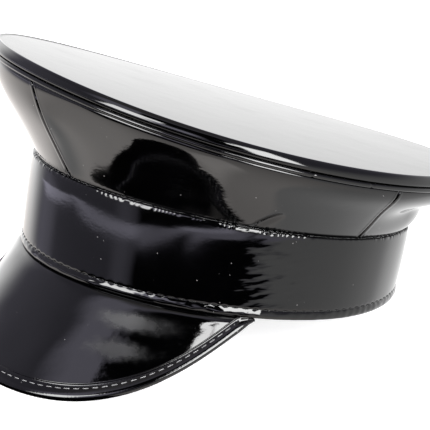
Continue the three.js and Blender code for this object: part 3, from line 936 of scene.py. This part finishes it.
def patch(azimuth, half_width, soft_width, low, high, soft_height, lean=0.0):
    """Soft rectangle of the room: the azimuth is turned to the patch's middle, and its size
    and the distance from the middle height are each put through a soft edge. With a lean, the
    patch shifts in azimuth by so many degrees for each degree above its middle."""
    inputs = {"Vector": direction, "Angle": math.radians(-azimuth)}
    turned = node_of(room, "ShaderNodeVectorRotate", inputs, rotation_type="Z_AXIS")
    xyz = node_of(room, "ShaderNodeSeparateXYZ", {0: turned.outputs[0]}).outputs
    aside = calculated(room, "ARCTAN2", xyz["X"], calculated(room, "MULTIPLY", xyz["Y"], -1))
    off_middle = calculated(room, "SUBTRACT", height, math.radians((low + high) / 2))
    if lean:
        aside = calculated(room, "SUBTRACT", aside, calculated(room, "MULTIPLY", off_middle, lean))
    aside = calculated(room, "ABSOLUTE", aside)
    off_middle = calculated(room, "ABSOLUTE", off_middle)
    return calculated(room, "MULTIPLY", soft_edge(aside, half_width, soft_width),
                      soft_edge(off_middle, (high - low) / 2, soft_height))


PLAIN, COOL, WARM = (1, 1, 1), (0.93, 0.90, 1.10), (1.05, 1.0, 0.97)
# (azimuth, half width, softness, low, high, softness, any lean), colour and brightness
ROOM = [
    ((-75, 45, 22, 4, 44, 8), COOL, 0.48),              # dim wall to the left
    ((-150, 48, 22, -95, 12, 14), PLAIN, 1.32),         # white backdrop behind the hat
    ((-103, 18, 15, -95, 22, 10), PLAIN, 2.1),          # its lit left end
    ((3, 22, 10, 38, 76, 5), COOL, 1.4),                # spill of the left soft box
    ((2, 5, 4, -30, 6, 3), COOL, 0.6),                  # its stand
    ((125, 46, 10, -95, 6, 16), PLAIN, 1.0),            # pale wall to the right
    ((-55, 66, 14, -95, -17, 4), WARM, 1.5),            # white floor in front of the hat
    ((43, 32.5, 2.5, -27, 22, 4), PLAIN, 0),            # the dark side, with the camera in it
    ((45, 29, 2, 18, 57, 4), PLAIN, 0),                 # and its upper part
    ((50, 50, 10, 60, 95, 4), COOL, 0.95),              # grey wall above it
    ((0, 200, 5, 66, 95, 10), WARM, 0.35),              # ceiling
    ((45, 70, 24, -95, -29, 5), WARM, 1.15),            # white floor to the hat's left
    ((-64, 13, 10, -40, -26, 6), WARM, 1.12),           # floor before the left wall
    ((3, 18, 6, -77, -64, 3), WARM, 1.9),               # brightest place of that floor
    ((150, 42, 25, -95, -50, 12), PLAIN, 0.9),          # greyer floor behind
    ((-74, 10, 9, -48, -34, 6), PLAIN, 0.75),           # dull strip under the left wall
    ((8, 34, 4, -37, -12, 3), PLAIN, 0.0),              # dark gap in the floor
    ((-66, 9, 6, -17, -6, 3), COOL, 0.62),              # foot of the left wall
    ((-57, 4, 1.5, -11, -4, 0.8, 5.5), COOL, 1.8),      # lit edge of the table, left end
    ((-10, 29, 4, -4.6, -3.2, 0.4), COOL, 2.0),         # its middle
    ((26, 15, 5, -5.5, -3.4, 0.5), COOL, 1.2),          # and its right half
    ((56, 16, 5, -7.3, -3.4, 0.7), COOL, 1.2),          # lower part of its right end
    ((50, 16, 6, -3.8, -1.6, 0.6), COOL, 2.1),          # upper part
    ((88, 13, 4, -9.5, -5.5, 1), COOL, 1.1),            # and its far end
    ((9, 16, 2, 8, 38, 3, 0.35), PLAIN, 14),            # left soft box
    ((32, 14, 6, 10, 28, 4), COOL, 2.5),                # faint glow between the boxes
    ((84, 12, 2, 1, 42, 3, 0.12), PLAIN, 16),           # right soft box
    ((69.2, 3.6, 1, 29.5, 36.7, 0.8, 0.3), PLAIN, 15),  # the lamp's lower corner
]
painted = (0.31, 0.30, 0.37)    # the room where no patch reaches
for placed, colour, brightness in ROOM:
    shine = tuple(brightness * part for part in colour)
    painted = blended(room, patch(*placed), painted, shine)
fed(room, room.nodes["Background"], {"Color": painted, "Strength": 1.0})
bpy.context.scene.view_settings.view_transform = "Standard"
print(len(ROOM), "patches and", len(room.nodes), "nodes make the room")

# %% [markdown]
# ## Camera
# The camera stands a metre away, above the hat and to the wearer's left, with a long lens.
# All of it was fitted to the hat's outlines. The shifts move the picture without a turn.

# %% Camera at the photograph's angle
camera = put_in_scene("camera", bpy.data.cameras.new("camera"))
camera.location = (0.704280, -0.588540, 0.418980)
camera.rotation_euler = (math.radians(90 - 21.9373), 0, math.radians(49.9287))
camera.data.lens = 165.25
camera.data.sensor_width = 36
camera.data.shift_x = -0.00165
camera.data.shift_y = -0.01068
camera.data.clip_start = 0.05
bpy.context.scene.camera = camera

# %% [markdown]
# ## Last update
# Looks may not change the hat's size. Here the scene is only brought up to date.

# %% Bring the scene up to date
bpy.context.view_layer.update()
